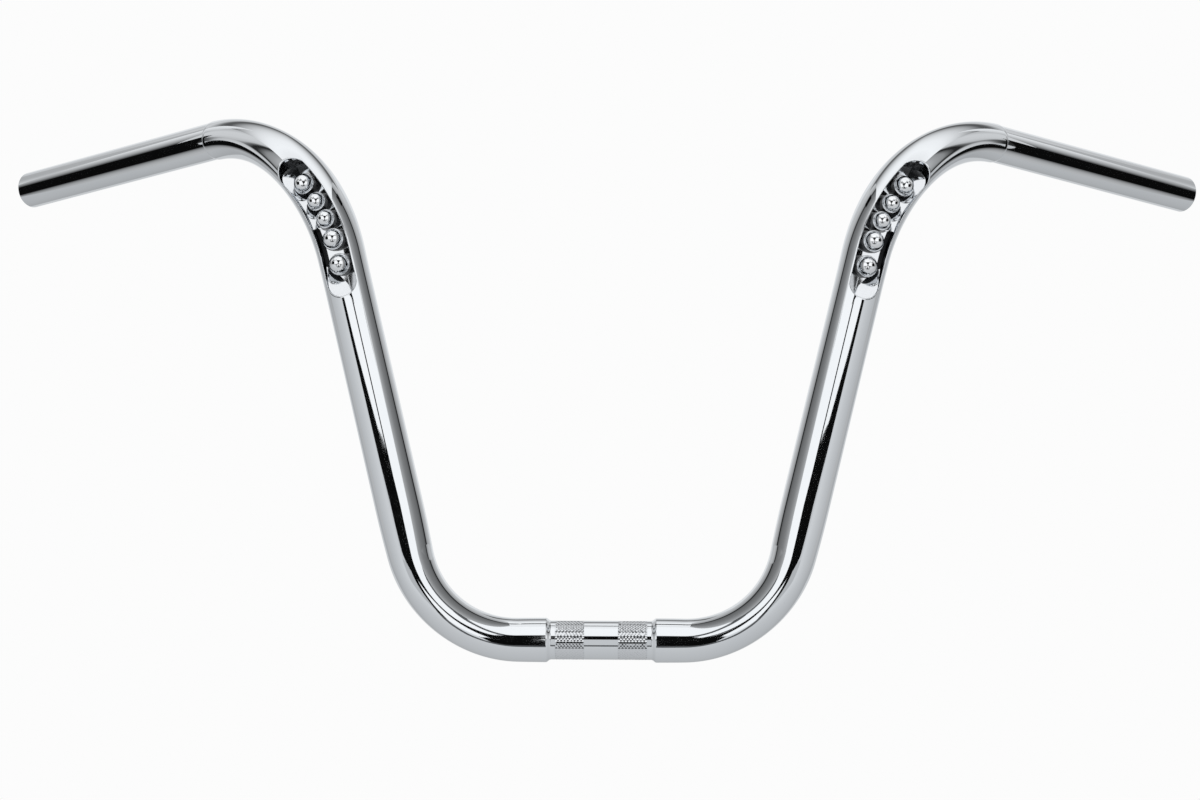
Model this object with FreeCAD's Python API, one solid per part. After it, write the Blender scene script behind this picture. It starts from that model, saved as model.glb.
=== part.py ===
import FreeCAD, Part
import math
import os

# Driving dimensions of the handlebar, in millimetres and degrees.
# +X is across the bar, +Y is towards the rider, +Z is up.
# The origin is the middle of the clamp seat, on its axis.

# Tube sizes
tube_dia = 31.75
wall = 3.0
clamp_dia = 25.4
grip_dia = 25.4
stub_dia = 29.0
neck_dia = 26.6

# Clamp seat in the middle
clamp_seat_length = 65.4
shoulder_length = 3.4
knurl_width = 18.6
knurl_spacing = 41.0
knurl_height = 0.1

# Path of the right half, from the middle outwards
half_straight = 54.3
lower_bend_radius = 73.2
lower_bend_turn = 76.5
leg_length = 202.6
upper_bend_radius = 105.0
pull_back_angle = 41.5
droop_angle = 4.5
neck_length = 10.5
grip_length = 185.7
tip_round = 0.8

# How the bends leave the tube out of round
lower_flattening = 2.3
lower_ovality = 3.0
lower_lead_in = 14.0
lower_run_out = 22.0
upper_ovality = 6.0
upper_taper_lag = 1.3

# Slot in each upper bend, and the grooved channel behind it
slot_width = 20.0
slot_below_bend = 29.0
slot_above_bend = 70.0
slot_bend_radius = 92.0
slot_lean = 26.0
channel_floor_height = 4.0
channel_floor_radius = 14.0
channel_wall = 2.0
ramp_slope = 45.0
ramp_skew = 60.0
ramp_height = 7.6

# Balls, from the leg upwards: distance from the start of the bend, and diameter
ball_places = (-7.1, 9.8, 24.0, 37.4, 52.8)
large_ball_dia = 12.7
small_ball_dia = 11.1
ball_dias = (large_ball_dia, large_ball_dia, small_ball_dia, small_ball_dia, large_ball_dia)
ball_height = 9.8
seat_ring_width = 0.9
seat_ring_depth = 0.7
seat_clearance = 0.05

# Values worked out from the driving dimensions
sections_per_bend = 16
reach = 2.0 * tube_dia
ramp_reach = 1.5 * slot_width
lower_turn = math.radians(lower_bend_turn)
pull_back = math.radians(pull_back_angle)
droop = math.radians(droop_angle)
lean = math.radians(slot_lean)

across = FreeCAD.Vector(1, 0, 0)
up = FreeCAD.Vector(0, 0, 1)
middle = FreeCAD.Vector(0, 0, 0)

leg_direction = across * math.cos(lower_turn) + up * math.sin(lower_turn)
grip_direction = FreeCAD.Vector(
    math.cos(droop) * math.cos(pull_back),
    math.cos(droop) * math.sin(pull_back),
    -math.sin(droop),
)
upper_turn = leg_direction.getAngle(grip_direction)
upper_inward = grip_direction - leg_direction * leg_direction.dot(grip_direction)
upper_inward.normalize()

lower_start = across * half_straight
lower_centre = lower_start + up * lower_bend_radius
leg_start = lower_centre + across * (lower_bend_radius * math.sin(lower_turn))
leg_start = leg_start - up * (lower_bend_radius * math.cos(lower_turn))
leg_end = leg_start + leg_direction * leg_length
upper_centre = leg_end + upper_inward * upper_bend_radius
slot_centre = leg_end + upper_inward * slot_bend_radius

# Distances along the path where one stretch ends and the next begins
lower_end_at = half_straight + lower_bend_radius * lower_turn
leg_end_at = lower_end_at + leg_length
upper_end_at = leg_end_at + upper_bend_radius * upper_turn
neck_end_at = upper_end_at + neck_length
tip_at = neck_end_at + grip_length


def path_frame(distance):
    """Point on the path, its direction, and the direction to the bend's inside."""
    if distance <= half_straight:
        return across * distance, across, up
    if distance <= lower_end_at:
        turn = (distance - half_straight) / lower_bend_radius
        direction = across * math.cos(turn) + up * math.sin(turn)
        inward = up * math.cos(turn) - across * math.sin(turn)
        return lower_centre - inward * lower_bend_radius, direction, inward
    if distance <= leg_end_at:
        inward = up * math.cos(lower_turn) - across * math.sin(lower_turn)
        return leg_start + leg_direction * (distance - lower_end_at), leg_direction, inward
    turn = min((distance - leg_end_at) / upper_bend_radius, upper_turn)
    direction = leg_direction * math.cos(turn) + upper_inward * math.sin(turn)
    inward = upper_inward * math.cos(turn) - leg_direction * math.sin(turn)
    point = upper_centre - inward * upper_bend_radius
    point = point + direction * max(0.0, distance - upper_end_at)
    return point, direction, inward


def ease(share):
    """Smooth step from 0 to 1."""
    share = min(max(share, 0.0), 1.0)
    return share * share * (3.0 - 2.0 * share)


def lower_section(distance):
    """Diameters in and across the plane of the lower bend."""
    begin = half_straight - lower_lead_in
    end = lower_end_at + lower_run_out
    swell = math.sin(math.pi * (distance - begin) / (end - begin))
    grown = stub_dia + (tube_dia - stub_dia) * ease((distance - half_straight) / (end - half_straight))
    in_plane = grown - lower_flattening * swell
    return in_plane, in_plane + (lower_flattening + lower_ovality) * swell


def upper_section(distance):
    """Diameters in and across the plane of the upper bend."""
    share = (distance - leg_end_at) / (upper_end_at - leg_end_at)
    in_plane = tube_dia + (neck_dia - tube_dia) * ease(share ** upper_taper_lag)
    return in_plane, in_plane + upper_ovality * math.sin(math.pi * share)


def section_wire(distance, in_plane, cross_plane):
    """Closed oval across the path, its long axis square to the bend's plane."""
    point, direction, inward = path_frame(distance)
    binormal = direction.cross(inward)
    if cross_plane - in_plane > 1e-6:
        curve = Part.Ellipse(middle, cross_plane / 2.0, in_plane / 2.0)
    else:
        curve = Part.Circle(middle, up, in_plane / 2.0)
    turn = FreeCAD.Rotation(binormal, inward * -1.0, direction, "XYZ")
    edge = curve.toShape()
    edge.Placement = FreeCAD.Placement(point, turn)
    return Part.Wire([edge])


def bent_stretch(begin, end, section, skin):
    """Bent stretch of the tube, with every diameter reduced by twice the skin."""
    wires = []
    for step in range(sections_per_bend + 1):
        distance = begin + (end - begin) * step / sections_per_bend
        in_plane, cross_plane = section(distance)
        wires.append(section_wire(distance, in_plane - 2.0 * skin, cross_plane - 2.0 * skin))
    return Part.makeLoft(wires, True, False)


def straight_stretch(begin, end, dia, skin, end_dia=None):
    """Straight stretch of the tube, tapered if it has an end diameter."""
    point = path_frame(begin)[0]
    direction = path_frame(end)[1]
    first = dia / 2.0 - skin
    last = first if end_dia is None else end_dia / 2.0 - skin
    if abs(first - last) < 1e-6:
        return Part.makeCylinder(first, end - begin, point, direction)
    return Part.makeCone(first, last, end - begin, point, direction)


def half_bar(skin, overrun):
    """Right half of the bar as a solid, reduced by the skin and run past its end by the overrun."""
    seat_end = clamp_seat_length / 2.0
    stub_start = seat_end + shoulder_length
    bend_start = half_straight - lower_lead_in
    bend_end = lower_end_at + lower_run_out
    pieces = [
        straight_stretch(0.0, seat_end, clamp_dia, skin),
        straight_stretch(seat_end, stub_start, clamp_dia, skin, stub_dia),
        straight_stretch(stub_start, bend_start, stub_dia, skin),
        bent_stretch(bend_start, bend_end, lower_section, skin),
        straight_stretch(bend_end, leg_end_at, tube_dia, skin),
        bent_stretch(leg_end_at, upper_end_at, upper_section, skin),
        straight_stretch(upper_end_at, neck_end_at, neck_dia, skin),
        straight_stretch(neck_end_at, tip_at + overrun, grip_dia, skin),
    ]
    return pieces[0].multiFuse(pieces[1:])


def mirrored(shape):
    """The same shape on the left half."""
    return shape.mirror(middle, across)


def slot_axes(distance):
    """Point on the slot's path, its direction, the way out of the slot, and the bend's outside."""
    turn = max(0.0, distance - leg_end_at) / slot_bend_radius
    direction = leg_direction * math.cos(turn) + upper_inward * math.sin(turn)
    inward = upper_inward * math.cos(turn) - leg_direction * math.sin(turn)
    point = slot_centre - inward * slot_bend_radius
    point = point + leg_direction * min(0.0, distance - leg_end_at)
    binormal = direction.cross(inward)
    outward = binormal * -math.cos(lean) - inward * math.sin(lean)
    outside = binormal * math.sin(lean) - inward * math.cos(lean)
    return point, direction, outward, outside


def sweep_along_slot(profile, begin, end):
    """Closed profile at the start of the slot's run, carried up the leg and round the bend."""
    face = Part.Face(Part.Wire(profile))
    straight = face.extrude(leg_direction * (leg_end_at - begin))
    face.translate(leg_direction * (leg_end_at - begin))
    axis = leg_direction.cross(upper_inward)
    turn = math.degrees((end - leg_end_at) / slot_bend_radius)
    return straight.fuse(face.revolve(slot_centre, axis, turn))


def slot_prism():
    """Round-ended slot from the tube's axis outwards, following the bend."""
    radius = slot_width / 2.0
    begin = leg_end_at - slot_below_bend + radius
    end = leg_end_at + slot_above_bend - radius
    point, direction, outward, outside = slot_axes(begin)
    near = point - outside * radius
    far = point + outside * radius
    high = outward * reach
    profile = Part.makePolygon([near, far, far + high, near + high, near]).Edges
    prism = sweep_along_slot(profile, begin, end)
    for distance in (begin, end):
        point, direction, outward, outside = slot_axes(distance)
        prism = prism.fuse(Part.makeCylinder(radius, reach, point, outward))
    return prism


def groove(skin):
    """Round-bottomed groove along the slot, grown by the skin and run past both slot ends by it."""
    begin = leg_end_at - slot_below_bend - skin
    end = leg_end_at + slot_above_bend + skin
    radius = channel_floor_radius + skin
    point, direction, outward, outside = slot_axes(begin)
    centre = point + outward * (channel_floor_height + channel_floor_radius)
    near = centre - outside * radius
    far = centre + outside * radius
    high = outward * reach
    profile = [Part.Arc(near, centre - outward * radius, far).toShape()]
    profile += Part.makePolygon([far, far + high, near + high, near]).Edges
    return sweep_along_slot(profile, begin, end)


def ramp_block(distance, facing, set_back):
    """Block behind the sloped end of a groove, with its face moved back into the end."""
    point, direction, outward, outside = slot_axes(distance)
    slope = math.radians(ramp_slope)
    skew = math.radians(ramp_skew)
    along = direction * (facing * math.cos(skew)) + outside * math.sin(skew)
    normal = outward * math.cos(slope) + along * math.sin(slope)
    corner = FreeCAD.Vector(-ramp_reach, -ramp_reach, -ramp_reach)
    block = Part.makeBox(2.0 * ramp_reach, 2.0 * ramp_reach, ramp_reach, corner)
    start = point + outward * ramp_height - normal * set_back
    block.Placement = FreeCAD.Placement(start, FreeCAD.Rotation(up, normal))
    return block


def ramp_blocks(set_back):
    """The blocks behind the lower and the upper sloped end."""
    low_end = ramp_block(leg_end_at - slot_below_bend, 1.0, set_back)
    high_end = ramp_block(leg_end_at + slot_above_bend, -1.0, set_back)
    return low_end, high_end


def ball(number, clearance):
    """One ball in its place, grown by the clearance."""
    point, direction, outward, outside = slot_axes(leg_end_at + ball_places[number])
    return Part.makeSphere(ball_dias[number] / 2.0 + clearance, point + outward * ball_height)


def seat_ring(number):
    """Raised ring that one ball sits in, from inside the channel's floor up."""
    point, direction, outward, outside = slot_axes(leg_end_at + ball_places[number])
    floor = channel_floor_height - channel_wall / 2.0
    top = ball_height - seat_ring_depth
    radius = ball_dias[number] / 2.0 + seat_ring_width
    return Part.makeCylinder(radius, top - floor, point + outward * floor, outward)


def slot_channel(outer, bore, slot):
    """Grooved liner behind the slot, with sloped ends that fill the slot and a ring seat for each ball."""
    channel = groove(channel_wall).common(bore)
    hollow = groove(0.0).common(slot)
    for block in ramp_blocks(channel_wall):
        channel = channel.cut(block)
    for block in ramp_blocks(0.0):
        hollow = hollow.cut(block)
    channel = channel.cut(hollow)
    for block in ramp_blocks(0.0):
        channel = channel.fuse(slot.common(outer).common(block))
    for number in range(len(ball_places)):
        channel = channel.fuse(seat_ring(number).common(bore))
    for number in range(len(ball_places)):
        channel = channel.cut(ball(number, seat_clearance))
    return channel.removeSplitter()


def knurl_bands():
    """Two slightly raised bands where the clamps bite."""
    bands = []
    for side in (-1.0, 1.0):
        start = across * (side * knurl_spacing / 2.0 - knurl_width / 2.0)
        radius = clamp_dia / 2.0 + knurl_height
        bands.append(Part.makeCylinder(radius, knurl_width, start, across))
    return bands


def rounded_tip(outer):
    """Half bar with the rim of its open end rounded."""
    tip = path_frame(tip_at)[0]
    rim = [edge for edge in outer.Edges if edge.CenterOfMass.distanceToPoint(tip) < tip_round]
    return outer.makeFillet(tip_round, rim)


def handlebar_tube(outer, bore, slot):
    """The whole bent tube, with its bands, bore and two slots."""
    half = rounded_tip(outer)
    tube = half.multiFuse([mirrored(half)] + knurl_bands())
    tube = tube.cut(bore).cut(mirrored(bore))
    tube = tube.cut(slot).cut(mirrored(slot))
    return tube.removeSplitter()


def only_solid(shape, name):
    """The one solid of a shape, with a message if it is not one sound solid."""
    solids = shape.Solids
    if len(solids) != 1 or not solids[0].isValid():
        print(name, "has", len(solids), "solids, valid", [solid.isValid() for solid in solids])
    return max(solids, key=lambda solid: solid.Volume)


def main():
    os.makedirs("parts", exist_ok=True)
    outer = half_bar(0.0, 0.0)
    bore = half_bar(wall, reach)
    slot = slot_prism()
    channel = slot_channel(outer, bore, slot)
    parts = {
        "handlebar_tube": handlebar_tube(outer, bore, slot),
        "right_slot_channel": channel,
        "left_slot_channel": mirrored(channel),
    }
    for number in range(len(ball_places)):
        sphere = ball(number, 0.0)
        parts["right_ball_%d" % (number + 1)] = sphere
        parts["left_ball_%d" % (number + 1)] = mirrored(sphere)
    for name, shape in parts.items():
        solid = only_solid(shape, name)
        solid.exportStep("parts/%s.step" % name)
        print(name, "volume", round(solid.Volume, 1))


main()
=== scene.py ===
import bpy
import math
import numpy as np
from mathutils import Matrix, Vector


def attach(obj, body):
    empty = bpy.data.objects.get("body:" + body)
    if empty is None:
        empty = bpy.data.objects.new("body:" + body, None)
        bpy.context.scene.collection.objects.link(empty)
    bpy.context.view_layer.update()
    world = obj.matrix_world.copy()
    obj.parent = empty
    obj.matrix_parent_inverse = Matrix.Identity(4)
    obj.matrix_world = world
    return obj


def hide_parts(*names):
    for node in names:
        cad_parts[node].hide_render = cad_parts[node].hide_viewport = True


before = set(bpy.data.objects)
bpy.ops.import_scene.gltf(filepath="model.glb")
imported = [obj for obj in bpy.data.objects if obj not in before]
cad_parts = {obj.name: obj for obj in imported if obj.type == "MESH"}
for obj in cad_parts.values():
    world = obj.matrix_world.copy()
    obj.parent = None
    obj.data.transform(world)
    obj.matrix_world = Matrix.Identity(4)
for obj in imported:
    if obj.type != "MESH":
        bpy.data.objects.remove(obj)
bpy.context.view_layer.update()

MM = 0.001

# Sizes of the bar in millimetres, the same as in the CAD model.
tube_dia, wall, clamp_dia, grip_dia, stub_dia, neck_dia = 31.75, 3.0, 25.4, 25.4, 29.0, 26.6
clamp_half, shoulder_length, knurl_width, knurl_spacing = 32.7, 3.4, 18.6, 41.0
half_straight, lower_radius, leg_length, upper_radius = 54.3, 73.2, 202.6, 105.0
lower_turn, pull_back, droop = (math.radians(a) for a in (76.5, 41.5, 4.5))
lower_flattening, lower_ovality, upper_ovality, upper_taper_lag = 2.3, 3.0, 6.0, 1.3
slot_width, slot_below, slot_above, slot_radius = 20.0, 29.0, 70.0, 92.0
slot_lean, ramp_skew, ramp_height = math.radians(26.0), math.radians(60.0), 7.6
ball_places = (-7.1, 9.8, 24.0, 37.4, 52.8)
ball_dias = (12.7, 12.7, 11.1, 11.1, 12.7)
ball_height, ring_width, ring_depth = 9.8, 0.9, 0.7
floor_height, liner_wall, tip_round = 4.0, 2.0, 0.8

# Sizes that only the looks use, or that the photo's reflections gave later.
neck_before, grip_length = 2.2, 198.4   # the grip begins this far before the upper bend's end
neck_round = 3.0                        # length of the rounding where the neck falls to the grip
bore_taper = 4.0                        # length over which the bore narrows to the grip's
floor_radius = 30.0                     # groove of the liner
ramp_slope = math.radians(35.0)         # its sloped ends
rim_round = 1.0                         # softened edge round the slot
lower_run_out, upper_lead_in = 32.0, 22.0   # how far each bend's oval section runs into the leg
knurl_edge = 0.15                       # sloped step beside each knurled band
knurl_root, knurl_peak = 25.04, 25.46   # diameters at the bottom of the grooves and over the points
knurl_around, knurl_rows = 34, 17       # points round the seat, and rows of them in a band
knurl_step = 1.08                       # from one row to the next


def unit(vector):
    return vector / np.linalg.norm(vector, axis=-1, keepdims=True)


# The right half's path: straight middle, lower bend, leg, upper bend, straight grip.
across, up = np.array([1.0, 0.0, 0.0]), np.array([0.0, 0.0, 1.0])
leg_way = across * math.cos(lower_turn) + up * math.sin(lower_turn)
leg_in = up * math.cos(lower_turn) - across * math.sin(lower_turn)
grip_level = np.array([math.cos(pull_back), math.sin(pull_back), 0.0])
grip_way = grip_level * math.cos(droop) - up * math.sin(droop)
bend_in = unit(grip_way - leg_way * (leg_way @ grip_way))
bend_side = np.cross(leg_way, bend_in)
upper_turn = math.acos(leg_way @ grip_way)
frame_twist = math.atan2(bend_in @ np.cross(leg_way, leg_in), bend_in @ leg_in)
lower_centre = across * half_straight + up * lower_radius
leg_start = lower_centre - leg_in * lower_radius
leg_end = leg_start + leg_way * leg_length
upper_centre = leg_end + bend_in * upper_radius
slot_centre = leg_end + bend_in * slot_radius
leg_at = half_straight + lower_radius * lower_turn
bend_at = leg_at + leg_length
neck_at = bend_at + upper_radius * upper_turn
grip_at = neck_at - neck_before
tip_at = grip_at + grip_length
frame_switch = leg_at + leg_length / 3.0


def ease(share):
    share = np.clip(share, 0.0, 1.0)
    return share * share * (3.0 - 2.0 * share)


def along(distance):
    """Point, direction and two cross axes of the path, and the turn from those axes to the upper bend's."""
    s = np.asarray(distance, float)[..., None]
    low = np.clip((s - half_straight) / lower_radius, 0.0, lower_turn)
    direction = across * np.cos(low) + up * np.sin(low)
    inward = up * np.cos(low) - across * np.sin(low)
    point = lower_centre - inward * lower_radius
    point = point + across * np.minimum(0.0, s - half_straight) + leg_way * np.maximum(0.0, s - leg_at)
    turn = np.clip((s - bend_at) / upper_radius, 0.0, upper_turn)
    high_direction = leg_way * np.cos(turn) + bend_in * np.sin(turn)
    high_inward = bend_in * np.cos(turn) - leg_way * np.sin(turn)
    high_point = upper_centre - high_inward * upper_radius + high_direction * np.maximum(0.0, s - neck_at)
    point = np.where(s < bend_at, point, high_point)
    high = s >= frame_switch
    direction = np.where(high, high_direction, direction)
    inward = np.where(high, high_inward, inward)
    return point, direction, inward, np.cross(direction, inward), np.where(high[..., 0], 0.0, frame_twist)


def lower_dias(s):
    """Flattened lower bend: it grows from the stub to the leg, and is wider across the bend's plane."""
    begin, end = clamp_half + shoulder_length, leg_at + lower_run_out
    swell = np.sin(np.pi * np.clip((s - begin) / (end - begin), 0, 1)) ** 2
    full = stub_dia + (tube_dia - stub_dia) * ease((s - half_straight) / (end - half_straight))
    return full - lower_flattening * swell, full + lower_ovality * swell


def upper_dias(s):
    """Leg and upper bend: round, then wider across the bend's plane, then down to the neck."""
    share = np.clip((s - bend_at) / (neck_at - bend_at), 0, 1)
    begin = bend_at - upper_lead_in
    swell = np.sin(np.pi * np.clip((s - begin) / (neck_at - begin), 0, 1)) ** 2
    inside = tube_dia + (neck_dia - tube_dia) * ease(share ** upper_taper_lag)
    return inside, inside + upper_ovality * swell


def round_dia(dia):
    return lambda s: (dia + 0.0 * s, dia + 0.0 * s)


def taper(begin, end, first, last):
    return lambda s: (first + (last - first) * (s - begin) / (end - begin),) * 2


def shoulder(s):
    """Swaged step from the clamp seat up to the stub, with soft corners."""
    return (clamp_dia + (stub_dia - clamp_dia) * ease((s - clamp_half) / shoulder_length),) * 2


def neck_end(s):
    """Rounded end of the wide tube, where the thinner grip comes out of it."""
    share = np.clip((s - grip_at + neck_round) / neck_round, 0.0, 1.0)
    left = np.sqrt(np.maximum(0.0, 1.0 - share ** 2))
    return tuple(grip_dia + (dia - grip_dia) * left for dia in upper_dias(s))


def skin_point(s, angle, dias, inset=0.0):
    """Point of the tube's skin at a distance along the path and an angle round it."""
    point, _, inward, side, twist = along(s)
    first, second = dias(np.asarray(s, float))
    turned = angle + twist
    return (point + inward * ((first / 2 - inset) * np.cos(turned))[..., None]
            + side * ((second / 2 - inset) * np.sin(turned))[..., None])


def skin_normal(s, angle, dias, inset=0.0):
    """Outward normal of the skin, from small steps along and round it."""
    step = 0.01
    run = skin_point(s + step, angle, dias, inset) - skin_point(s - step, angle, dias, inset)
    sweep = skin_point(s, angle + step, dias, inset) - skin_point(s, angle - step, dias, inset)
    return unit(np.cross(sweep, run))


def slot_axes(distance):
    """Point on the slot's path, its direction, the way out of the slot, and the bend's outside."""
    s = np.asarray(distance, float)[..., None]
    turn = np.maximum(0.0, s - bend_at) / slot_radius
    direction = leg_way * np.cos(turn) + bend_in * np.sin(turn)
    inward = bend_in * np.cos(turn) - leg_way * np.sin(turn)
    point = slot_centre - inward * slot_radius + leg_way * np.minimum(0.0, s - bend_at)
    outward = -bend_side * math.cos(slot_lean) - inward * math.sin(slot_lean)
    outside = bend_side * math.sin(slot_lean) - inward * math.cos(slot_lean)
    return point, direction, outward, outside


def slot_edge(radius, side, turns=15, steps=66):
    """Foot points, the way out and the way off the slot, along one long side from the lower tip up."""
    begin, end = bend_at - slot_below + slot_width / 2, bend_at + slot_above - slot_width / 2
    quarter = np.radians(np.linspace(0, 90, turns))
    lower, upper = slot_axes(np.full(turns, begin)), slot_axes(np.full(turns, end))
    runs = slot_axes(np.linspace(begin, end, steps)[1:-1])
    ways = [-lower[1] * np.cos(quarter)[:, None] + lower[3] * (side * np.sin(quarter))[:, None],
            runs[3] * side,
            upper[1] * np.sin(quarter)[:, None] + upper[3] * (side * np.cos(quarter))[:, None]]
    feet = [lower[0], runs[0], upper[0]]
    outs = [lower[2], runs[2], upper[2]]
    way = np.concatenate(ways)
    return np.concatenate(feet) + way * radius, np.concatenate(outs), way


def path_place(point):
    """Distance along the path, and the two lengths off it, of points near the leg and the upper bend."""
    rel = point - upper_centre
    turn = np.arctan2(rel @ leg_way, -(rel @ bend_in))
    s = np.where(turn > 0, bend_at + turn * upper_radius, bend_at + rel @ leg_way)
    centre, _, inward, side, _ = along(s)
    off = point - centre
    return s, (off * inward).sum(-1), (off * side).sum(-1)


def on_skin(feet, outs, inset):
    """Where lines out of the slot meet the skin: point, distance and angle. Found by halving."""
    halvings, farthest = 44, 30.0
    low, high = np.zeros(len(feet)), np.full(len(feet), farthest)
    for _ in range(halvings):
        middle = (low + high) / 2
        s, n, b = path_place(feet + outs * middle[:, None])
        first, second = upper_dias(s)
        inside = (n / (first / 2 - inset)) ** 2 + (b / (second / 2 - inset)) ** 2 < 1
        low, high = np.where(inside, middle, low), np.where(inside, high, middle)
    point = feet + outs * low[:, None]
    s, n, b = path_place(point)
    first, second = upper_dias(s)
    return point, s, np.arctan2(b / (second / 2 - inset), n / (first / 2 - inset))


class Skin:
    """Gathers patches of points with their own normals, and joins them into one mesh with closed seams."""

    def __init__(self):
        self.points, self.normals, self.quads, self.finishes, self.count = [], [], [], [], 0

    def patch(self, points, normals, keep=None, finish=0):
        """Adds a grid of points, with its faces turned to the side of the normals."""
        rows, cols = points.shape[:2]
        index = self.count + np.arange(rows * cols).reshape(rows, cols)
        quads = np.stack([index[:-1, :-1], index[:-1, 1:], index[1:, 1:], index[1:, :-1]], -1).reshape(-1, 4)
        if keep is not None:
            quads = quads[keep.reshape(-1)]
        flat, ways = points.reshape(-1, 3), normals.reshape(-1, 3)
        local = quads - self.count
        face = np.cross(flat[local[:, 2]] - flat[local[:, 0]], flat[local[:, 3]] - flat[local[:, 1]])
        wrong = (face * ways[local].sum(1)).sum(-1) < 0
        quads[wrong] = quads[wrong][:, ::-1]
        self.points.append(flat)
        self.normals.append(ways)
        self.quads.append(quads)
        self.finishes.append(np.full(len(quads), finish))
        self.count += rows * cols

    def mesh(self, name, hand="both"):
        """One mesh of the patches, for the right half, the left half or both."""
        points, normals, quads = (np.concatenate(x) for x in (self.points, self.normals, self.quads))
        finishes = np.concatenate(self.finishes)
        mirror = np.array([-1.0, 1.0, 1.0])
        if hand == "both":
            quads = np.concatenate([quads, quads[:, ::-1] + len(points)])
            finishes = np.concatenate([finishes, finishes])
            points = np.concatenate([points, points * mirror])
            normals = np.concatenate([normals, normals * mirror])
        elif hand == "left":
            points, normals, quads = points * mirror, normals * mirror, quads[:, ::-1]
        _, first, welded = np.unique(np.round(points, 4), axis=0, return_index=True, return_inverse=True)
        welded = welded.reshape(-1)
        faces, ways, kinds = [], [], []
        for quad, kind in zip(quads.tolist(), finishes.tolist()):
            kept = [c for k, c in enumerate(quad) if welded[c] != welded[quad[k - 1]]]
            if len({int(welded[c]) for c in kept}) == len(kept) and len(kept) > 2:
                faces.append([int(welded[c]) for c in kept])
                ways.extend(kept)
                kinds.append(kind)
        mesh = bpy.data.meshes.new(name)
        mesh.from_pydata((points[first] * MM).tolist(), [], faces)
        mesh.polygons.foreach_set("use_smooth", np.ones(len(mesh.polygons), bool))
        mesh.polygons.foreach_set("material_index", kinds)
        mesh.normals_split_custom_set(normals[ways].tolist())
        return mesh


def tube_patch(skin, s, angle, dias, inset, inner):
    """Adds a grid of the tube's outside, or of its bore with the normals turned inwards."""
    facing = -1.0 if inner else 1.0
    skin.patch(skin_point(s, angle, dias, inset), skin_normal(s, angle, dias, inset) * facing)


def ring(skin, rows, dias, columns, seam, inset, inner):
    """Round patch of the tube between full rings."""
    turns = seam + np.linspace(0, 2 * np.pi, columns + 1)
    s, angle = np.meshgrid(np.asarray(rows, float), turns, indexing="ij")
    tube_patch(skin, s, angle, dias, inset, inner)


def way_round(first, last):
    """Angle from one side of the slot round to the other, and a full turn where there is no slot."""
    return (last - first) % (2 * np.pi) if abs(last - first) > 1e-9 else 2 * np.pi


def slotted(skin, rows_below, rows_above, columns, inset, radius, inner):
    """Leg and upper bend with the slot left out: each row runs from one side of the slot to the other."""
    near = on_skin(*slot_edge(radius, -1.0)[:2], inset)
    far = on_skin(*slot_edge(radius, 1.0)[:2], inset)
    starts = [(s, s, near[2][0], near[2][0]) for s in rows_below]
    starts += list(zip(near[1], far[1], near[2], far[2]))
    starts += [(s, s, near[2][-1], near[2][-1]) for s in rows_above]
    share = np.linspace(0, 1, columns + 1)
    s = np.array([a + (b - a) * ease(share) for a, b, c, d in starts])
    angle = np.array([c + way_round(c, d) * share for a, b, c, d in starts])
    tube_patch(skin, s, angle, upper_dias, inset, inner)


def slot_rim(skin):
    """Softened edge of the slot and the wall below it, down to the tube's inside."""
    for side in (1.0, -1.0):
        feet, outs, way = slot_edge(slot_width / 2, side)
        outer, s, angle = on_skin(*slot_edge(slot_width / 2 + rim_round, side)[:2], 0.0)
        face = skin_normal(s, angle, upper_dias)
        corner = on_skin(feet, outs, 0.0)[0]
        top = corner - outs * rim_round
        bottom = on_skin(feet, outs, wall)[0]
        share = np.linspace(0, 1, 7)[None, :, None]
        curve = (outer[:, None] * (1 - share) ** 2 + corner[:, None] * (2 * share * (1 - share))
                 + top[:, None] * share ** 2)
        skin.patch(curve, unit(face[:, None] * (1 - share) - way[:, None] * share))
        skin.patch(np.stack([top, bottom], 1), np.repeat(-way[:, None], 2, 1))


def tube_tip(skin, columns, outer_seam, inner_seam):
    """Rounded edge and flat face at the grip's open end."""
    end, direction, inward, side, twist = along(np.array(tip_at - tip_round))
    sweep = twist + np.linspace(0, 2 * np.pi, columns + 1)
    outer, inside = (inward * np.cos(seam + sweep)[:, None] + side * np.sin(seam + sweep)[:, None]
                     for seam in (outer_seam, inner_seam))
    turn = np.radians(np.linspace(0, 90, 6))[:, None, None]
    reach = grip_dia / 2 - tip_round + tip_round * np.cos(turn)
    edge = end + outer * reach + direction * (tip_round * np.sin(turn))
    skin.patch(edge, outer * np.cos(turn) + direction * np.sin(turn))
    bore = end + direction * tip_round + inside * (grip_dia / 2 - wall)
    skin.patch(np.stack([edge[-1], bore]), np.broadcast_to(direction, (2, columns + 1, 3)))


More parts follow.
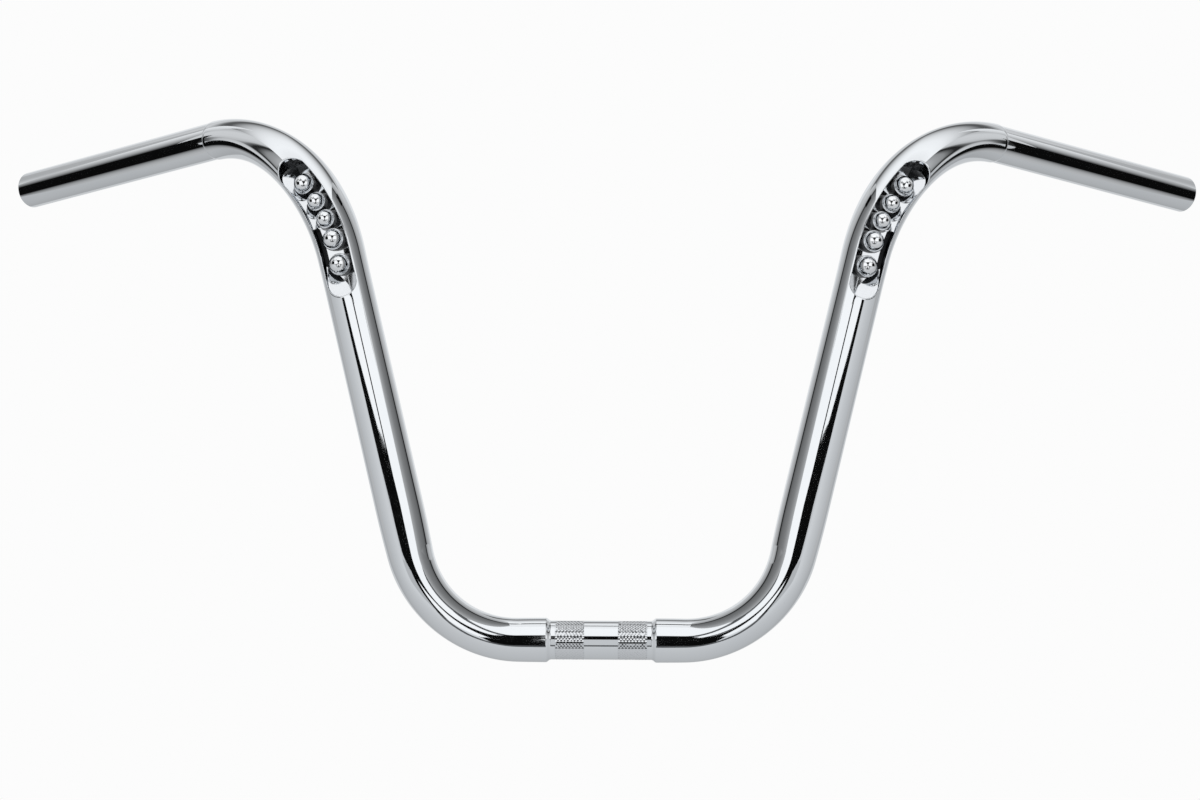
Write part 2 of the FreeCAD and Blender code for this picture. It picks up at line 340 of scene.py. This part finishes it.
def tube_skin():
    """The whole bent tube, outside and inside, with the slots left open."""
    skin = Skin()
    columns, switch_gap, slot_gap = 96, 0.02, 0.3
    knurl_in, knurl_out = (knurl_spacing - knurl_width) / 2, (knurl_spacing + knurl_width) / 2
    fine_in, fine_out = knurl_in - knurl_edge, knurl_out + knurl_edge
    stub_at, oval_end = clamp_half + shoulder_length, leg_at + lower_run_out
    thin_at = neck_at + bore_taper
    leg = [(np.linspace(clamp_half, stub_at, 13), shoulder),
           (np.linspace(stub_at, oval_end, 64), lower_dias),
           ([oval_end, frame_switch - switch_gap, frame_switch + switch_gap], round_dia(tube_dia))]
    seams = []
    for inner in (False, True):
        inset, radius = (wall, slot_width / 2) if inner else (0.0, slot_width / 2 + rim_round)
        _, s, angle = on_skin(*slot_edge(radius, 1.0)[:2], inset)
        below = list(np.linspace(frame_switch + switch_gap, s[0] - slot_gap, 12))
        if inner:
            seat = [([0, clamp_half], round_dia(clamp_dia))]
            above = list(np.linspace(s[-1] + slot_gap, neck_at, 30))
            grip = [([neck_at, thin_at], taper(neck_at, thin_at, neck_dia, grip_dia)),
                    ([thin_at, tip_at], round_dia(grip_dia))]
        else:
            seat = [([0, fine_in], round_dia(clamp_dia)),
                    ([fine_in, knurl_in], taper(fine_in, knurl_in, clamp_dia, knurl_root)),
                    ([knurl_in, knurl_out], round_dia(knurl_root)),
                    ([knurl_out, fine_out], taper(knurl_out, fine_out, knurl_root, clamp_dia)),
                    ([fine_out, clamp_half], round_dia(clamp_dia))]
            above = list(np.linspace(s[-1] + slot_gap, grip_at - neck_round, 44))
            grip = [(grip_at - neck_round * (1 - np.sin(np.radians(np.linspace(0, 90, 12)))), neck_end),
                    ([grip_at, neck_at, tip_at - tip_round], round_dia(grip_dia))]
        for rows, dias in seat + leg:
            ring(skin, rows, dias, columns, angle[0], inset, inner)
        slotted(skin, below, above, columns, inset, radius, inner)
        for rows, dias in grip:
            ring(skin, rows, dias, columns, angle[-1], inset, inner)
        seams.append(angle[-1])
    slot_rim(skin)
    tube_tip(skin, columns, *seams)
    return skin


def ramp_plane(distance, facing):
    """A point on the sloped, skewed end face of the liner, and its normal."""
    point, direction, outward, outside = slot_axes(np.array(distance))
    way = direction * (facing * math.cos(ramp_skew)) + outside * math.sin(ramp_skew)
    return point + outward * ramp_height, outward * math.cos(ramp_slope) + way * math.sin(ramp_slope)


def ball_ring(skin, point, direction, outward, outside, radius):
    """Raised ring round a ball's seat, with a rounded bright top and sides darkened by painted shade."""
    spokes, foot, overlap = 49, 3.0, 0.1
    turn = np.linspace(0, 2 * np.pi, spokes)
    spoke = direction * np.cos(turn)[:, None] + outside * np.sin(turn)[:, None]
    crown = np.radians(np.linspace(0, 180, 9))
    middle, half = radius + ring_width / 2 - overlap, ring_width / 2 + overlap
    top = ball_height - ring_depth
    reach = np.concatenate([[middle + half], middle + half * np.cos(crown), [middle - half]])
    height = np.concatenate([[foot], top - half + half * np.sin(crown), [foot]])
    lean = np.concatenate([[1.0], np.cos(crown), [-1.0]])
    rise = np.concatenate([[0.0], np.sin(crown), [0.0]])
    points = point + spoke * reach[:, None, None] + outward * height[:, None, None]
    ways = spoke * lean[:, None, None] + outward * rise[:, None, None]
    skin.patch(points[1:-1], ways[1:-1])
    # The ring's outer and inner sides get the dark plate: painted shade.
    skin.patch(points[:2], ways[:2], finish=1)
    skin.patch(points[-2:], ways[-2:], finish=1)
    skin.patch(points[[0, -1]], np.broadcast_to(-outward, (2, spokes, 3)))


def channel_skin():
    """Grooved liner of the right slot: round floor, sloped ends, side walls and ball rings."""
    skin = Skin()
    columns, painted_shade_columns, tucked, lip_depth, off_limits = 60, 8, 0.02, 0.3, -9.0
    near, outs, near_way = slot_edge(slot_width / 2, -1.0, 60, 260)
    far, _, far_way = slot_edge(slot_width / 2, 1.0, 60, 260)
    share = np.linspace(0, 1, columns + 1)[None, :, None]
    foot = near[:, None] * (1 - share) + far[:, None] * share
    out = np.broadcast_to(outs[:, None], foot.shape)
    side = unit(np.cross(np.gradient((near + far) / 2, axis=0), outs))
    side = side * np.sign((side * (far - near)).sum(-1).sum())
    off = ((foot - ((near + far) / 2)[:, None]) * side[:, None]).sum(-1)
    drop = np.sqrt(floor_radius ** 2 - off ** 2)
    # Heights and normals of the four faces: groove, lower slope, upper slope, and the tube's own outside.
    heights = [floor_height + floor_radius - drop]
    normals = [unit(out * drop[..., None] - side[:, None] * off[..., None])]
    for distance, facing in ((bend_at - slot_below, 1.0), (bend_at + slot_above, -1.0)):
        start, normal = ramp_plane(distance, facing)
        heights.append(((start - foot) @ normal) / (out @ normal))
        normals.append(np.broadcast_to(normal, foot.shape))
    flat_top, s, angle = on_skin(foot.reshape(-1, 3), out.reshape(-1, 3), 0.0)
    limit = ((flat_top.reshape(foot.shape) - foot) * out).sum(-1)
    normals.append(skin_normal(s, angle, upper_dias).reshape(foot.shape))
    lower_half = np.arange(len(foot))[:, None] < len(foot) / 2
    heights[1] = np.where(lower_half, heights[1], off_limits)
    heights[2] = np.where(lower_half, off_limits, heights[2])
    height = np.max(heights, 0)
    owner = np.where(height > limit, 3, np.argmax(heights, 0))
    height = np.minimum(height, limit)
    points = foot + out * height[..., None]
    cell = owner[:-1, :-1]
    # Painted shade: a dark strip in the groove's inner corner, where shade falls.
    corner = (cell == 0) & (np.arange(columns) < painted_shade_columns)
    skin.patch(points, normals[0], corner, 1)
    for number, normal in enumerate(normals):
        skin.patch(points, normal, (cell == number) & ~corner)
    bottom = []
    for edge, face in ((0, near_way), (-1, far_way)):
        feet = foot[:, edge]
        bore = on_skin(feet, outs, wall)[0]
        tall = np.maximum(((bore - feet) * outs).sum(-1), height[:, edge])
        crest = feet + outs * tall[:, None]
        lip = on_skin(feet + face * liner_wall, outs, wall + tucked)[0]
        low_edge = np.minimum(floor_height, ((lip - feet) * outs).sum(-1) - lip_depth)
        under = feet + face * liner_wall + outs * low_edge[:, None]
        # The liner's side walls get the dark plate: painted shade.
        skin.patch(np.stack([points[:, edge], crest], 1), np.repeat(-face[:, None], 2, 1), finish=1)
        skin.patch(np.stack([crest, lip], 1), np.repeat(outs[:, None], 2, 1))
        skin.patch(np.stack([lip, under], 1), np.repeat(face[:, None], 2, 1))
        bottom.append(under)
    skin.patch(np.stack(bottom, 1), np.repeat(-outs[:, None], 2, 1))
    for place, dia in zip(ball_places, ball_dias):
        ball_ring(skin, *slot_axes(np.array(bend_at + place)), dia / 2)
    return skin


def linear(code):
    """Linear colour of an sRGB hex code."""
    parts = [int(code[k:k + 2], 16) / 255.0 for k in (0, 2, 4)]
    return tuple(c / 12.92 if c <= 0.04045 else ((c + 0.055) / 1.055) ** 2.4 for c in parts) + (1.0,)


def add(tree, kind, values=None, links=None):
    """Adds a node, sets its properties or inputs by name, and links its inputs."""
    node = tree.nodes.new(kind)
    for name, value in (values or {}).items():
        if isinstance(name, str) and hasattr(node, name):
            setattr(node, name, value)
        else:
            node.inputs[name].default_value = value
    for name, socket in (links or {}).items():
        tree.links.new(socket, node.inputs[name])
    return node


def calc(tree, operation, *terms):
    """Adds a node that reckons with sockets and plain numbers, and gives its result."""
    links = {place: term for place, term in enumerate(terms) if isinstance(term, bpy.types.NodeSocket)}
    values = {place: term for place, term in enumerate(terms) if place not in links}
    return add(tree, "ShaderNodeMath", {"operation": operation, **values}, links).outputs[0]


def mix(tree, share, first, second):
    """Adds a node that goes from one colour to another, and gives its result."""
    colours = {"data_type": "RGBA", 6: linear(first), 7: linear(second)}
    return add(tree, "ShaderNodeMix", colours, {0: share}).outputs[2]


def new_material(name):
    material = bpy.data.materials.new(name)
    material.use_nodes = True
    return material, material.node_tree


def chrome(name, pale, deep, smooth, dull, grain_mm):
    """Chrome plate: a mirror with a faintly uneven polish, so its sheen drifts a little along the bar."""
    material, tree = new_material(name)
    shader = tree.nodes["Principled BSDF"]
    shader.inputs["Metallic"].default_value = 1.0
    drift_mm = 60.0
    spot = {"Vector": add(tree, "ShaderNodeTexCoord").outputs["Object"]}
    drift = add(tree, "ShaderNodeTexNoise", {"Scale": 1.0 / (drift_mm * MM), "Detail": 3.0}, spot)
    grain = add(tree, "ShaderNodeTexNoise", {"Scale": 1.0 / (grain_mm * MM), "Detail": 4.0}, spot)
    polish = add(tree, "ShaderNodeMapRange",
                 {"From Min": 0.3, "From Max": 0.7, "To Min": smooth, "To Max": dull},
                 {"Value": grain.outputs["Fac"]})
    tree.links.new(mix(tree, drift.outputs["Fac"], pale, deep), shader.inputs["Base Color"])
    tree.links.new(polish.outputs["Result"], shader.inputs["Roughness"])
    return material


def put(name, data):
    """Puts a new object in the scene."""
    piece = bpy.data.objects.new(name, data)
    bpy.context.scene.collection.objects.link(piece)
    return piece


def own(name, mesh, finishes, slot, *nodes):
    """Makes a mesh a piece of the bar: named, finished, on the root body, in place of its CAD nodes."""
    piece = put(name, mesh)
    for finish in finishes:
        if finish.name not in mesh.materials:
            mesh.materials.append(finish)
    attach(piece, "root")
    if nodes:
        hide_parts(*nodes)


# Bright plate on the tube: a near mirror, which shows the room in long clean bands.
tube_chrome = chrome("chrome_plated_steel_tube", "E9ECEF", "E1E5E9", 0.02, 0.05, 9.0)
# Plate on the pressed liner: softer and a shade greyer, so the slot's floor looks less sharp than the tube.
channel_chrome = chrome("chrome_plated_pressed_steel", "E4E7EA", "DADDE1", 0.06, 0.10, 3.0)
# Unpolished, rough plate on the liner's walls, its groove's corner and the rings' sides. Its dark colour is
# painted shade, so the slot looks deep.
painted_shade_chrome = chrome("chrome_with_painted_recess_shade", "2E2F31", "1E1F20", 0.25, 0.4, 3.0)
# Balls: the palest plate, with small round highlights that are soft at the edge.
ball_chrome = chrome("polished_chrome_ball", "EEF0F2", "E8EBEE", 0.04, 0.06, 4.0)
# Knurling: bright small faces that glitter beside the smooth seat.
knurl_chrome = chrome("chrome_plated_knurling", "E4E7EA", "DADDE1", 0.04, 0.07, 1.5)


def new_tree(name, inputs):
    """Geometry node tree with named inputs and one mesh to give out, and the sockets of its inputs."""
    tree = bpy.data.node_groups.new(name, "GeometryNodeTree")
    tree.is_modifier = True
    for label, kind in inputs.items():
        tree.interface.new_socket(label, in_out="INPUT", socket_type="NodeSocket" + kind)
    tree.interface.new_socket("Mesh", in_out="OUTPUT", socket_type="NodeSocketGeometry")
    return tree, add(tree, "NodeGroupInput").outputs


def give_out(tree, geometry, finish):
    """Ends a node tree: instances become plain mesh, which gets its material and goes out."""
    real = add(tree, "GeometryNodeRealizeInstances", None, {"Geometry": geometry})
    finished = add(tree, "GeometryNodeSetMaterial", None, {"Geometry": real.outputs[0], "Material": finish})
    add(tree, "NodeGroupOutput", None, {"Mesh": finished.outputs[0]})


def ball_tree():
    """Node tree of one ball: its diameter and place are inputs."""
    tree, given = new_tree("slot_ball", {"Diameter": "Float", "Place": "Vector", "Finish": "Material"})
    half = calc(tree, "DIVIDE", given["Diameter"], 2.0)
    sphere = add(tree, "GeometryNodeMeshUVSphere", {"Segments": 72, "Rings": 36}, {"Radius": half})
    placed = add(tree, "GeometryNodeTransform", None,
                 {"Geometry": sphere.outputs["Mesh"], "Translation": given["Place"]})
    smooth = add(tree, "GeometryNodeSetShadeSmooth", None, {"Geometry": placed.outputs[0]})
    give_out(tree, smooth.outputs[0], given["Finish"])
    return tree


def knurl_tree():
    """Node tree of one knurled band: rows of four-sided points set in a diamond lattice round the seat."""
    tree, given = new_tree("diamond_knurl", {
        "Root Radius": "Float", "Height": "Float", "Around": "Int", "Rows": "Int", "Row Step": "Float",
        "Centre": "Float", "Finish": "Material"})
    around, rows, row_step, radius = (given[name] for name in ("Around", "Rows", "Row Step", "Root Radius"))
    dots = add(tree, "GeometryNodePoints", None, {"Count": calc(tree, "MULTIPLY", around, rows)})
    index = add(tree, "GeometryNodeInputIndex").outputs[0]
    # Every second row is turned by half a step, which makes the diamonds.
    row = calc(tree, "FLOOR", calc(tree, "DIVIDE", index, around))
    shift = calc(tree, "MULTIPLY", calc(tree, "MODULO", row, 2.0), 0.5)
    column = calc(tree, "ADD", calc(tree, "MODULO", index, around), shift)
    step = calc(tree, "DIVIDE", 2 * math.pi, around)
    angle = calc(tree, "MULTIPLY", column, step)
    middle = calc(tree, "DIVIDE", calc(tree, "SUBTRACT", rows, 1.0), 2.0)
    run = calc(tree, "MULTIPLY_ADD", calc(tree, "SUBTRACT", row, middle), row_step, given["Centre"])
    arm = add(tree, "ShaderNodeCombineXYZ", None, {"Z": radius})
    swung = add(tree, "ShaderNodeVectorRotate", {"rotation_type": "X_AXIS"},
                {"Vector": arm.outputs[0], "Angle": angle})
    shove = add(tree, "ShaderNodeCombineXYZ", None, {"X": run})
    spot = add(tree, "ShaderNodeVectorMath", {"operation": "ADD"}, {0: swung.outputs[0], 1: shove.outputs[0]})
    laid = add(tree, "GeometryNodeSetPosition", None,
               {"Geometry": dots.outputs[0], "Position": spot.outputs[0]})
    # Each point is as long as a row, a little wider than half a step, and slightly uneven in height.
    half_width = calc(tree, "MULTIPLY", calc(tree, "MULTIPLY", step, radius), 0.52)
    worn = add(tree, "FunctionNodeRandomValue", {"data_type": "FLOAT", 2: 0.92, 3: 1.12, "Seed": 7})
    tall = calc(tree, "MULTIPLY", worn.outputs[1], given["Height"])
    size = add(tree, "ShaderNodeCombineXYZ", None, {"X": row_step, "Y": half_width, "Z": tall})
    spin = add(tree, "ShaderNodeCombineXYZ", None, {"X": angle})
    point = add(tree, "GeometryNodeMeshCone", {"Vertices": 4, "Radius Top": 0.0, "Radius Bottom": 1.0,
                                               "Depth": 1.0, "fill_type": "NGON"})
    spread = add(tree, "GeometryNodeInstanceOnPoints", None,
                 {"Points": laid.outputs[0], "Instance": point.outputs["Mesh"],
                  "Rotation": spin.outputs[0], "Scale": size.outputs[0]})
    crisp = add(tree, "GeometryNodeSetShadeSmooth", {"Shade Smooth": False}, {"Geometry": spread.outputs[0]})
    give_out(tree, crisp.outputs[0], given["Finish"])
    return tree


def grown(tree, values):
    """Plain mesh that a node tree makes with these named inputs."""
    seed = put("seed", bpy.data.meshes.new("seed"))
    modifier = seed.modifiers.new("tree", "NODES")
    modifier.node_group = tree
    for item in tree.interface.items_tree:
        if item.in_out == "INPUT" and item.name in values:
            modifier[item.identifier] = values[item.name]
    shown = seed.evaluated_get(bpy.context.evaluated_depsgraph_get())
    mesh = bpy.data.meshes.new_from_object(shown)
    seed.modifiers.remove(modifier)
    bpy.data.objects.remove(seed)
    return mesh


hands = (("right", 1.0), ("left", -1.0))
own("bar_tube", tube_skin().mesh("bar_tube"), (tube_chrome,), "tube", "handlebar_tube")
liner = channel_skin()
for hand, side in hands:
    own(hand + "_channel", liner.mesh(hand + "_channel", hand), (channel_chrome, painted_shade_chrome), "channel",
        hand + "_slot_channel")
ball = ball_tree()
for number, (place, dia) in enumerate(zip(ball_places, ball_dias), 1):
    point, _, outward, _ = slot_axes(np.array(bend_at + place))
    x, y, z = (point + outward * ball_height) * MM
    for hand, side in hands:
        node = "%s_ball_%d" % (hand, number)
        mesh = grown(ball, {"Diameter": dia * MM, "Place": (side * x, y, z), "Finish": ball_chrome})
        own(node + "_polished", mesh, (ball_chrome,), "ball", node)
knurl = knurl_tree()
for hand, side in hands:
    mesh = grown(knurl, {
        "Root Radius": knurl_root / 2 * MM, "Height": (knurl_peak - knurl_root) / 2 * MM,
        "Around": knurl_around, "Rows": knurl_rows, "Row Step": knurl_step * MM,
        "Centre": side * knurl_spacing / 2 * MM, "Finish": knurl_chrome})
    own(hand + "_knurl_band", mesh, (knurl_chrome,), "tube")


def glow(name, code, back_code=None):
    """Light-giving face of a studio card, as bright as the metal is to show it. It may fade to the back."""
    strength, front_depth, back_depth = 1.18, -1.6, 1.8
    material, tree = new_material(name)
    tree.nodes.clear()
    light = add(tree, "ShaderNodeEmission", {"Color": linear(code), "Strength": strength})
    add(tree, "ShaderNodeOutputMaterial", None, {"Surface": light.outputs[0]})
    if back_code:
        coord = add(tree, "ShaderNodeTexCoord")
        part = add(tree, "ShaderNodeSeparateXYZ", None, {0: coord.outputs["Object"]})
        share = add(tree, "ShaderNodeMapRange", {"From Min": front_depth, "From Max": back_depth},
                    {"Value": part.outputs["Y"]})
        tree.links.new(mix(tree, share.outputs[0], code, back_code), light.inputs["Color"])
    return material


def graded(name, weights, lowest, stops):
    """Card whose tone follows a weighted sum of the distance from the middle, the depth and the height."""
    material = glow(name, "FFFFFF")
    tree = material.node_tree
    coord = add(tree, "ShaderNodeTexCoord")
    part = add(tree, "ShaderNodeSeparateXYZ", None, {0: coord.outputs["Object"]})
    spot = add(tree, "ShaderNodeCombineXYZ", None, {
        "X": calc(tree, "ABSOLUTE", part.outputs["X"]), "Y": part.outputs["Y"],
        "Z": calc(tree, "MAXIMUM", part.outputs["Z"], lowest)})
    place = add(tree, "ShaderNodeVectorMath", {"operation": "DOT_PRODUCT", 1: weights}, {0: spot.outputs[0]})
    begin, end = stops[0][0], stops[-1][0]
    share = add(tree, "ShaderNodeMapRange", {"From Min": begin, "From Max": end},
                {"Value": place.outputs["Value"]})
    ramp = add(tree, "ShaderNodeValToRGB", None, {0: share.outputs[0]})
    for number, (at, grey) in enumerate(stops):
        where = (at - begin) / (end - begin)
        stop = ramp.color_ramp.elements[number] if number < 2 else ramp.color_ramp.elements.new(where)
        stop.position, stop.color = where, linear("%02X%02X%02X" % (grey, grey, grey))
    light = next(n for n in tree.nodes if n.type == "EMISSION")
    tree.links.new(ramp.outputs[0], light.inputs["Color"])
    return material


# Tones of the cards. The graded ones give the soft drift from light to dark along each band on the metal.
no_lowest = -9.0
tones = {name: glow(name + "_card", code) for name, code in (
    ("white", "FAFAFA"), ("pale", "DCDDDE"), ("light", "C6C7C8"), ("silver", "B4B5B6"), ("dark", "565758"),
    ("black", "0A0A0A"))}
tones["fading"] = glow("fading_card", "CECFD0", "A6A7A8")
for name, weights, lowest, stops in (
        ("top_fade", (0.62, 1.0, 0.0), no_lowest, (
            (-0.6, 232), (0.1, 248), (0.5, 242), (0.8, 228), (1.1, 208), (1.3, 188), (1.5, 165), (1.7, 125),
            (1.85, 88), (2.0, 84), (2.15, 110), (2.35, 175), (2.55, 205), (3.4, 185))),
        ("side_fade", (0.0, 1.0, 0.55), 0.55, (
            (-0.9, 220), (-0.4, 190), (-0.1, 160), (0.1, 142), (0.2, 95), (0.27, 40), (0.33, 32), (0.39, 110),
            (0.45, 190), (0.6, 205), (1.0, 208), (1.3, 192), (1.8, 172))),
        ("leg_fade", (0.0, 1.0, 0.0), no_lowest, (
            (-0.11, 175), (-0.08, 150), (-0.048, 125), (-0.005, 105), (0.006, 85), (0.012, 22), (0.02, 22),
            (0.028, 150), (0.065, 182), (0.11, 195))),
        ("grip_top_fade", (0.0, 0.241, 1.0), no_lowest, (
            (0.389, 50), (0.401, 105), (0.419, 150), (0.449, 180), (0.489, 205), (0.569, 225), (0.9, 235))),
        ("grip_low_fade", (0.0, 0.085, 1.0), no_lowest, (
            (-0.03, 182), (0.151, 180), (0.211, 168), (0.241, 148), (0.259, 118), (0.271, 70)))):
    tones[name] = graded(name + "_card", weights, lowest, stops)


def card(name, corners, tone):
    """Studio card that only polished metal sees."""
    mesh = bpy.data.meshes.new(name)
    mesh.from_pydata(corners, [], [range(len(corners))])
    mesh.materials.append(tones[tone])
    piece = put(name, mesh)
    piece.visible_camera = piece.visible_diffuse = piece.visible_shadow = False


# Tent of cards round the bar, in metres: each wall's own tone, then the cards on it, by two lengths there.
# Front and back: across from the middle, height. Sides: depth, height. Floor and top: across, depth.
room, low, layer_gap = 2.2, -0.8, 0.002
walls = {"front": (lambda u, v, d: (u, d - room, v), "silver"),
         "back": (lambda u, v, d: (u, room - d, v), "light"),
         "side": (lambda u, v, d: (room - d, u, v), "fading"),
         "top": (lambda u, v, d: (u, v, room - d), "light"),
         "floor": (lambda u, v, d: (u, v, low + d), "fading")}
cards = (
    ("front", "light", ((1.36, 0.25), (2.2, 0.25), (2.2, -0.3), (1.36, -0.13))),
    ("front", "white", ((0.07, 0.3), (0.7, 0.18), (1.36, 0.2), (2.2, 0.2), (2.2, 1.1), (1.35, 1.1),
                        (0.94, 1.4), (0.46, 1.13), (0.14, 0.72))),
    ("front", "dark", ((1.35, 1.1), (2.2, 1.15), (2.2, 2.2), (1.3, 2.2), (0.95, 1.75), (1.15, 1.45))),
    ("front", "dark", ((0.07, 0.75), (0.14, 0.72), (0.46, 1.13), (0.94, 1.42), (1.3, 1.9), (1.3, 2.2),
                       (1.15, 2.2), (0.83, 1.7), (0.53, 1.5), (0.12, 1.0))),
    ("front", "white", ((0, 0.95), (0.12, 1.0), (0.53, 1.5), (1.12, 2.2), (0, 2.2))),
    ("front", "black", ((0, 0.15), (0.09, 0.15), (0.09, 0.75), (0.12, 0.9), (0, 0.9))),
    ("front", "black", ((0.07, 0.33), (0.69, 0.21), (1.2, 0.19), (1.36, 0.18), (1.5, 0.24), (2.2, 0.27),
                        (2.2, 0.05), (2.0, -0.09), (1.38, -0.13), (1.0, -0.1), (0.72, -0.05), (0.45, 0.05),
                        (0.07, 0.15))),
    ("front", "black", ((0.45, 0.1), (0.95, 0.05), (0.94, -0.2), (0.86, -0.45), (0.96, -0.8), (0.72, -0.8),
                        (0.59, -0.3))),
    ("front", "white", ((0.07, 0.15), (0.45, 0.04), (0.58, -0.3), (0.7, -0.8), (0.27, -0.8), (0.2, -0.65),
                        (0.1, -0.4))),
    ("front", "black", ((0, 0.2), (0.08, 0.2), (0.1, -0.4), (0.2, -0.65), (0.27, -0.8), (0, -0.8))),
    ("side", "side_fade", ((-2.2, 0.12), (2.2, 0.12), (2.2, 2.2), (-2.2, 2.2))),
    ("top", "top_fade", ((0, -0.6), (2.2, -1.9), (2.2, 2.2), (0, 2.2))),
    ("top", "white", ((0, -2.2), (1.05, -2.2), (1.0, -1.19), (0, -0.6))),
    ("back", "pale", ((0, 0.6), (0.2, 0.0), (1.25, 0.15), (1.35, 2.2), (0, 1.3))),
    ("floor", "black", ((0, -2.2), (0, -1.3), (0.22, -1.22), (0.3, -2.2))),
    ("floor", "dark", ((0, -1.42), (0, -1.0), (0.45, -1.0), (0.65, -1.2), (0.78, -1.45), (1.02, -2.2),
                       (0.78, -2.2), (0.6, -1.75), (0.42, -1.4), (0.12, -1.27))),
    ("floor", "pale", ((0.3, -2.2), (0.25, -1.6), (0.43, -1.6), (0.6, -1.85), (0.75, -2.2))),
)
for wall_name, (place, tone) in walls.items():
    first, last = (low, room) if wall_name in ("front", "back", "side") else (-room, room)
    for hand, side in hands:
        begin = -room if wall_name == "side" else 0.0
        layers = [(tone, ((begin, first), (room, first), (room, last), (begin, last)))]
        layers += [(shade, outline) for where, shade, outline in cards if where == wall_name]
        for depth, (shade, outline) in enumerate(layers):
            corners = [place(u, v, layer_gap * depth) for u, v in outline]
            card("%s_%s_card_%d" % (hand, wall_name, depth), [(side * x, y, z) for x, y, z in corners], shade)

# Cards close to the bar, each for one part of it: two for the clamp seat, then those that both halves have.
card("seat_strip",
     [(-0.0415, -0.3, -0.17), (0.0345, -0.3, -0.17), (0.0345, -0.3, 0.014), (-0.0415, -0.3, 0.014)], "light")
card("overhead_flag",
     [(-0.065, -0.012, 0.42), (0.065, -0.012, 0.42), (0.065, 0.03, 0.42), (-0.065, 0.03, 0.42)], "black")
near_cards = (
    ("leg_fade", "leg_fade",
     ((0.03, -0.11, 0.085), (0.03, 0.11, 0.085), (0.03, 0.11, 0.5), (0.03, -0.11, 0.5))),
    ("slot_flag", "black",
     ((0.36, -0.2, 0.215), (0.36, -0.045, 0.235), (0.36, -0.035, 0.335), (0.36, -0.2, 0.335))),
    ("ball_white", "white",
     ((0.042, -0.122, 0.237), (0.302, -0.122, 0.237), (0.302, -0.122, 0.339), (0.042, -0.122, 0.339))),
    ("ball_top_flag", "black",
     ((0.165, -0.12, 0.262), (0.179, -0.12, 0.262), (0.224, -0.12, 0.339), (0.12, -0.12, 0.339))),
    ("ball_low_flag", "black",
     ((0.165, -0.12, 0.257), (0.179, -0.12, 0.257), (0.2, -0.12, 0.237), (0.144, -0.12, 0.237))),
    ("grip_flag", "black",
     ((0.403, 0.051, 0.377), (0.575, 0.205, 0.34), (0.575, 0.205, 0.254), (0.403, 0.051, 0.267))),
    ("grip_top_fade", "grip_top_fade",
     ((0.43, 0.075, 0.371), (0.575, 0.205, 0.34), (0.575, 0.205, 0.7), (0.43, 0.075, 0.7))),
    ("grip_low_fade", "grip_low_fade",
     ((0.403, 0.051, 0.267), (0.575, 0.205, 0.254), (0.575, 0.205, -0.05), (0.403, 0.051, -0.05))),
)
for name, tone, corners in near_cards:
    card("right_" + name, corners, tone)
    card("left_" + name, [(-x, y, z) for x, y, z in corners], tone)

# Pale matt floor, well under the camera's view, that keeps the bar's shadow.
floor_level = -0.18
floor_corners = [(x, y, floor_level) for x, y in ((-3, -3), (3, -3), (3, 2), (-3, 2))]
floor_mesh = bpy.data.meshes.new("floor")
floor_mesh.from_pydata(floor_corners, [], [(0, 1, 2, 3)])
paint, tree = new_material("matt_studio_floor")
tree.nodes["Principled BSDF"].inputs["Base Color"].default_value = linear("D2D3D5")
tree.nodes["Principled BSDF"].inputs["Roughness"].default_value = 0.9
floor_mesh.materials.append(paint)
floor = put("floor", floor_mesh)
floor.visible_glossy = False

# White surround: white to the camera, a little greyer to the metal.
world = bpy.data.worlds.new("studio")
bpy.context.scene.world = world
world.use_nodes = True
tree = world.node_tree
tree.nodes.clear()
seen = add(tree, "ShaderNodeLightPath").outputs["Is Camera Ray"]
shade = mix(tree, seen, "D0D2D4", "FCFCFC")
surround = add(tree, "ShaderNodeBackground", {"Strength": 1.0}, {"Color": shade})
add(tree, "ShaderNodeOutputWorld", None, {"Surface": surround.outputs[0]})

lamp = bpy.data.lights.new("soft_overhead", "AREA")
lamp.shape, lamp.size, lamp.size_y, lamp.energy = "RECTANGLE", 2.4, 1.8, 22.0
lamp_object = put("soft_overhead", lamp)
lamp_object.location = (0.0, -0.3, 2.2)
lamp_object.visible_glossy = False

# Camera where the photographer stood: just under the bar's clamp seat, looking slightly up.
distance, aim_height = 2.249, 0.157
tilt, yaw, roll = (math.radians(a) for a in (4.69, 0.589, 0.296))
photo_width, pixel, shift_pixels, sensor = 1200.0, 0.6535 * MM, -2.44, 36.0
forward = Vector((0, math.cos(tilt), math.sin(tilt)))
level_high = Vector((0, -math.sin(tilt), math.cos(tilt)))
level_right = Vector((1, 0, 0))
right = level_right * math.cos(roll) + level_high * math.sin(roll)
high = level_high * math.cos(roll) - level_right * math.sin(roll)
stand = Matrix((right, high, -forward)).transposed().to_4x4()
stand.translation = -forward * distance + level_high * aim_height
camera = bpy.data.cameras.new("camera")
camera.sensor_fit, camera.sensor_width = "HORIZONTAL", sensor
camera.lens = sensor * distance / pixel / photo_width
camera.shift_x = shift_pixels / photo_width
camera.clip_end = 50.0
camera_object = put("camera", camera)
camera_object.matrix_world = Matrix.Rotation(yaw, 4, "Z") @ stand
bpy.context.scene.camera = camera_object
bpy.context.scene.view_settings.view_transform = "Standard"
